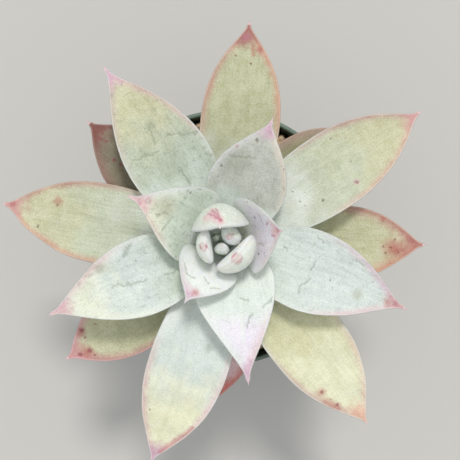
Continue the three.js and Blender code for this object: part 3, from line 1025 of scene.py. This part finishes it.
BAND_FOOT = POT_HEIGHT - BAND_HEIGHT
BAND_RADIUS = POT_RIM_RADIUS - LIP_OVERHANG - BAND_CHAMFER
WALL_TOP_RADIUS = BAND_RADIUS - BAND_STEP
SOIL_RADIUS = BAND_RADIUS - POT_WALL - GAP


def wall_radius(height):
    return POT_BASE_RADIUS + (WALL_TOP_RADIUS - POT_BASE_RADIUS) * height / BAND_FOOT


def lathe(profile, sides):
    """Vertices and faces of a closed profile that starts and ends on the axis, turned about +Z."""
    rings = profile[1:-1]
    vertices = [(0, 0, profile[0][1]), (0, 0, profile[-1][1])]
    for radius, height in rings:
        for side in range(sides):
            turn = 2 * math.pi * side / sides
            vertices.append((radius * math.cos(turn), radius * math.sin(turn), height))
    faces = []
    for side in range(sides):
        following = (side + 1) % sides
        faces.append((0, 2 + following, 2 + side))
        last = 2 + (len(rings) - 1) * sides
        faces.append((1, last + side, last + following))
        for ring in range(len(rings) - 1):
            low = 2 + ring * sides
            high = low + sides
            faces.append((low + side, low + following, high + following, high + side))
    return np.array(vertices, float), faces


def arc(centre, radius, start, end, steps):
    """Points of a rounded corner, from one angle in degrees to another."""
    turns = [math.radians(start + (end - start) * i / steps) for i in range(steps + 1)]
    return [(centre[0] + radius * math.cos(t), centre[1] + radius * math.sin(t)) for t in turns]


def make_pot():
    lip = POT_HEIGHT - POT_ROUNDING
    profile = [(0, 0), (POT_BASE_RADIUS - POT_BASE_EDGE, 0)]
    profile += arc((POT_BASE_RADIUS - POT_ROUNDING, POT_ROUNDING), POT_ROUNDING, -90, 0, CORNER_STEPS)
    for height in np.linspace(POT_WALL_START, BAND_FOOT, POT_WALL_STEPS):
        profile.append((wall_radius(height), height))
    chamfer = (BAND_RADIUS - BAND_CHAMFER, BAND_FOOT + BAND_CHAMFER)
    profile += arc(chamfer, BAND_CHAMFER, -60, 0, CORNER_STEPS)
    profile += [(POT_RIM_RADIUS - LIP_OVERHANG, POT_HEIGHT - 2 * POT_ROUNDING)]
    profile += arc((POT_RIM_RADIUS - POT_ROUNDING, lip), POT_ROUNDING, 0, 90, CORNER_STEPS)
    profile += arc((POT_RIM_RADIUS - LIP_WIDTH + POT_ROUNDING, lip), POT_ROUNDING, 90, 180, CORNER_STEPS)
    profile += [
        (BAND_RADIUS - POT_WALL, BAND_FOOT + BAND_CHAMFER + LIP_OVERHANG),
        (WALL_TOP_RADIUS - POT_WALL, BAND_FOOT + LIP_OVERHANG),
        (wall_radius(POT_FLOOR) - POT_WALL, POT_FLOOR),
        (0, POT_FLOOR),
    ]
    pot = make_object("pot_shell", *lathe(profile, POT_SIDES))
    drill = make_object("pot_drill", *drill_mesh())
    cut = pot.modifiers.new("holes", "BOOLEAN")
    cut.operation = "DIFFERENCE"
    cut.object = drill
    cut.solver = "EXACT"
    bpy.context.view_layer.objects.active = pot
    bpy.ops.object.modifier_apply(modifier=cut.name)
    bpy.data.objects.remove(drill)
    pot.data.polygons.foreach_set("use_smooth", [True] * len(pot.data.polygons))
    pot.data.set_sharp_from_angle(angle=SHARP_ANGLE)
    finish_piece(pot, pot_material(), "pot", "pot")


def drill_mesh():
    """One mesh of upright rods, a rod for each drain hole."""
    vertices, faces = [], []
    radius, reach = DRAIN_HOLE_RADIUS, DRILL_REACH
    rod, sides = lathe([(0, -reach), (radius, -reach), (radius, reach), (0, reach)], DRAIN_HOLE_SIDES)
    for hole in range(DRAIN_HOLES):
        turn = hole * 2 * math.pi / DRAIN_HOLES
        x, y = DRAIN_CIRCLE_RADIUS * math.cos(turn), DRAIN_CIRCLE_RADIUS * math.sin(turn)
        faces += [tuple(i + len(vertices) for i in face) for face in sides]
        vertices += [(px + x, py + y, pz) for px, py, pz in rod]
    return vertices, faces


def pot_material():
    shader = Shader("pot_plastic", "dark plastic")
    mm = shader.object_mm()
    height = shader.parts(mm)[2]
    cloud = shader.noise(mm, 0.05, 4)
    shader.paint(shader.smooth(cloud, 0.3, 0.7), "plastic")
    shader.paint(shader.smooth(cloud, 0.45, 0.85, 0, 0.22), "dust")
    # painted highlight: the top of the lip is painted paler, as if lit from above
    lip = shader.smooth(height, POT_HEIGHT - LIP_HIGHLIGHT_FROM, POT_HEIGHT - LIP_HIGHLIGHT_TO, 0, LIP_HIGHLIGHT)
    shader.paint(lip, "plastic highlight")
    shader.set(
        Roughness=shader.smooth(cloud, 0.3, 0.8, 0.34, 0.55),
        Normal=shader.bump(shader.noise(mm, 1.1, 3), PLASTIC_RELIEF),
    )
    return shader.material


# Soil

def park_miller(seed):
    """Numbers from 0 to 1, the same as in the CAD source."""
    state = seed
    while True:
        state = (state * GENERATOR_FACTOR) % GENERATOR_PRIME
        yield state / GENERATOR_PRIME


def soil_height(radius):
    return SOIL_LEVEL + SOIL_MOUND * (1 - (radius / POT_RIM_RADIUS) ** 2)


class Stone(NamedTuple):
    """A stone's place round the pot's axis, its radius and form, and how many radii it is raised."""
    distance: float
    turn: float
    size: float
    flatness: float
    lift: float
    level: int

    def middle(self):
        height = soil_height(self.distance) + self.lift * self.size
        return np.array((self.distance * math.cos(self.turn), self.distance * math.sin(self.turn), height))


def stone_mesh(stone, rng):
    """A rough pebble: an icosphere whose points are moved in and out, with a few flattened sides."""
    vertices, faces = icosphere(stone.level)
    cuts = []
    for _ in range(STONE_CUTS):
        normal = np.array([rng.gauss(0, 1) for _ in range(3)])
        cuts.append((normal / np.linalg.norm(normal), rng.uniform(*STONE_CUT_REACH)))
    shaped = vertices.copy()
    for normal, reach in cuts:
        beyond = np.maximum(shaped @ normal - reach, 0)
        shaped -= STONE_CUT_DEPTH * beyond[:, None] * normal
    shaped *= 1 + STONE_ROUGHNESS * np.array([rng.uniform(-1, 1) for _ in range(len(shaped))])[:, None]
    stretch = (rng.uniform(*STONE_STRETCH), rng.uniform(*STONE_STRETCH), stone.flatness)
    shaped *= stone.size * np.array(stretch)
    return shaped, faces


@cache
def icosphere(level):
    mesh = bpy.data.meshes.new("icosphere")
    made = bmesh.new()
    bmesh.ops.create_icosphere(made, subdivisions=level, radius=1)
    made.to_mesh(mesh)
    made.free()
    points = np.array([v.co for v in mesh.vertices])
    faces = [tuple(p.vertices) for p in mesh.polygons]
    bpy.data.meshes.remove(mesh)
    return points, faces


def turned(points, turn):
    c, s = math.cos(turn), math.sin(turn)
    return points @ np.array(((c, s, 0), (-s, c, 0), (0, 0, 1)))


class Heap:
    """Gathers meshes into one, each with a tone of its own."""

    def __init__(self):
        self.vertices = []
        self.faces = []
        self.tones = []
        self.count = 0

    def add(self, points, faces, tone):
        self.vertices.append(points)
        self.faces += [tuple(i + self.count for i in face) for face in faces]
        self.tones.append(np.full(len(points), tone))
        self.count += len(points)


def soil_body(rng):
    """The soil itself, which fills the pot with a gap all round and has a lumpy top."""
    profile = [
        (0, POT_FLOOR + GAP),
        (wall_radius(POT_FLOOR) - POT_WALL - GAP, POT_FLOOR + GAP),
        (WALL_TOP_RADIUS - POT_WALL - GAP, BAND_FOOT + 2 * GAP),
        (SOIL_RADIUS, BAND_FOOT + BAND_CHAMFER + 2 * GAP),
    ]
    for ring in range(SOIL_RINGS):
        radius = SOIL_RADIUS * (1 - ring / SOIL_RINGS)
        profile.append((radius, soil_height(radius)))
    profile.append((0, soil_height(0)))
    points, faces = lathe(profile, SOIL_SIDES)
    x, y, height = points.T
    lumps = ripple(x, y, *SOIL_LUMPS, rng)
    lumps += SOIL_FINE_SHARE * ripple(x, y, *SOIL_FINE_LUMPS, rng)
    points[:, 2] += np.where(height > SOIL_LEVEL - SOIL_TOP_DEPTH, SOIL_ROUGHNESS * lumps, 0)
    return points, faces


def grains():
    """The grit of the CAD source, whose generator also draws two numbers that aren't needed here."""
    numbers = park_miller(GRAIN_SEED)
    golden = math.pi * (3 - math.sqrt(5))
    outermost = SOIL_RADIUS - GRAIN_RADIUS * (1 + GRAIN_VARIATION) - GAP
    made = []
    for grain in range(GRAIN_COUNT):
        share = (grain + 0.5) / GRAIN_COUNT
        distance = math.sqrt(GRAINS_FROM ** 2 + (outermost ** 2 - GRAINS_FROM ** 2) * share)
        turn = grain * golden + GRAIN_SCATTER * next(numbers)
        size = GRAIN_RADIUS * (1 + GRAIN_VARIATION * (2 * next(numbers) - 1))
        next(numbers)
        next(numbers)
        made.append(Stone(distance, turn, size, GRAIN_FLATNESS, GRAIN_LIFT, GRAIN_LEVEL))
    return made


def crumbs(rng):
    made = []
    for _ in range(CRUMB_COUNT):
        size = rng.uniform(*CRUMB_RADII)
        distance = math.sqrt(rng.uniform(CRUMBS_FROM ** 2, (SOIL_RADIUS - size) ** 2))
        turn = rng.uniform(0, 2 * math.pi)
        flatness = rng.uniform(*CRUMB_FLATNESS)
        made.append(Stone(distance, turn, size, flatness, CRUMB_LIFT, CRUMB_LEVEL))
    return made


def make_soil():
    rng = random.Random(CRUMB_SEED)
    heap = Heap()
    heap.add(*soil_body(rng), EARTH_TONE)
    for stone in grains() + crumbs(rng):
        shaped, faces = stone_mesh(stone, rng)
        spun = turned(shaped, rng.uniform(0, STONE_TURN))
        heap.add(spun + stone.middle(), faces, rng.uniform(*STONE_TONES))
    for turn, distance, size, lift in TOP_GRAINS:
        stone = Stone(distance, math.radians(turn), size, GRAIN_FLATNESS, lift, GRAIN_LEVEL)
        shaped, faces = stone_mesh(stone, rng)
        heap.add(shaped + stone.middle(), faces, LIT_TOP_GRAIN_TONE)
    tones = {"stone": np.concatenate(heap.tones)}
    soil = make_object("soil_and_grit", np.concatenate(heap.vertices), heap.faces, tones)
    finish_piece(soil, soil_material(), "soil", "soil")


def soil_material():
    shader = Shader("gritty_soil", "dark grit")
    stone = shader.number("stone")
    mm = shader.object_mm()
    fine = shader.noise(mm, 2.2, 5, 0.65)
    coarse = shader.noise(mm, 0.5, 4, 0.6)
    shader.paint(shader.smooth(stone, *STONE_TONES), "grit")
    shader.paint(shader.smooth(fine, 0.5, 0.8, 0, 0.5), "pale grit")
    shader.paint(shader.smooth(coarse, 0.55, 0.75, 0, 0.5), "brown grit")
    # painted light: the grains on top are pale pumice painted paler still, as if lit where the leaves shade
    # them
    shader.paint(shader.smooth(stone, 1.2, 1.8, 0, 0.85), "pumice painted lit")
    earth = shader.mix(fine, "dark earth", "earth")
    shader.paint(shader.smooth(stone, 0.22, 0.34, 1, 0), earth)
    shader.set(Roughness=0.92, Normal=shader.bump(fine, SOIL_RELIEF))
    return shader.material


# Stem

def make_stem():
    rng = random.Random(STEM_SEED)
    heights = np.linspace(STEM_FOOT[2], STEM_TOP[2] - STEM_TIP_ROUND, STEM_RINGS)
    profile = [(0, STEM_FOOT[2])] + [(float(stem_radius(h)), h) for h in heights] + [(0, STEM_TOP[2])]
    points, faces = lathe(profile, STEM_SIDES)
    turn = np.arctan2(points[:, 1], points[:, 0])
    height = points[:, 2]
    wander = SCAR_WANDER * np.sin(turn * 3)
    scars = SCAR_DEPTH * np.sin(height * 2 * math.pi / SCAR_SPACING + wander)
    flakes = FLAKE_DEPTH * ripple(turn * FLAKE_SPREAD, height, FLAKE_LENGTH, 6, rng)
    radius = np.hypot(points[:, 0], points[:, 1])
    swell = np.where(radius > 1, 1 + (np.minimum(scars, SCAR_SWELL) + flakes) / np.maximum(radius, 1), 1)
    points[:, :2] *= swell[:, None]
    share = (height - STEM_FOOT[2]) / (STEM_TOP[2] - STEM_FOOT[2])
    points[:, :2] += STEM_FOOT[:2] + (STEM_TOP - STEM_FOOT)[:2] * share[:, None]
    stem = make_object("stem_bark", points, faces)
    finish_piece(stem, stem_material(), "stem", "stem")


def stem_material():
    """Fibrous bark that turns green towards the growing tip."""
    shader = Shader("stem_bark", "dark bark")
    mm = shader.object_mm()
    height = shader.parts(mm)[2]
    fibre = shader.stretched_noise(mm, (1.2, 1.2, 0.3), 5)
    rings = shader.stretched_noise(mm, (0.1, 0.1, 0.9), 3)
    shader.paint(fibre, "bark")
    shader.paint(shader.smooth(rings, 0.45, 0.7, 0, 0.6), "green bark")
    shader.paint(shader.smooth(height, STEM_GREEN_FROM, STEM_GREEN_TO), "stem tip")
    shader.set(Roughness=0.85, Normal=shader.bump(fibre, BARK_RELIEF))
    return shader.material


# Stage: pale floor, pale world, one soft key light

def make_stage():
    size = FLOOR_HALF_SIZE
    corners = [(-size, -size, 0), (size, -size, 0), (size, size, 0), (-size, size, 0)]
    floor = make_object("floor", corners, [(0, 1, 2, 3)], smooth=False)
    shader = Shader("floor", "floor")
    shader.set(Roughness=0.8)
    floor.data.materials.append(shader.material)
    floor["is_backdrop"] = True

    world = bpy.data.worlds.new("studio")
    world.use_nodes = True
    background = world.node_tree.nodes["Background"]
    background.inputs["Color"].default_value = WORLD_COLOUR
    background.inputs["Strength"].default_value = WORLD_STRENGTH
    bpy.context.scene.world = world

    lamp = bpy.data.lights.new("key", "SUN")
    lamp.energy = KEY_STRENGTH
    lamp.angle = KEY_SOFTNESS
    lamp.color = KEY_COLOUR
    placed("key", lamp).rotation_euler = KEY_TURN


def make_camera():
    lens = bpy.data.cameras.new("camera")
    lens.sensor_width = SENSOR
    lens.lens = CAMERA_FOCAL_PIXELS * SENSOR / IMAGE_PIXELS
    lens.clip_start, lens.clip_end = CLIP_METRES
    camera = placed("camera", lens)
    camera.location = [c * MM for c in CAMERA_PLACE]
    bpy.context.scene.camera = camera


bpy.context.scene.view_settings.view_transform = "Standard"
make_camera()
make_stage()
make_pot()
make_soil()
make_stem()
for order, leaf in enumerate(LEAVES):
    name = f"leaf_{order:02d}"
    vertices, faces, attributes = leaf_mesh(leaf, order)
    made = make_object(f"{name}_blade", vertices, faces, attributes)
    finish_piece(made, leaf_material(order, LOOKS[order]), leaf.age, name)

sizes = {"cad": cad_bounds, "visual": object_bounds()}
{key: [list(corner) for corner in box] for key, box in sizes.items()}
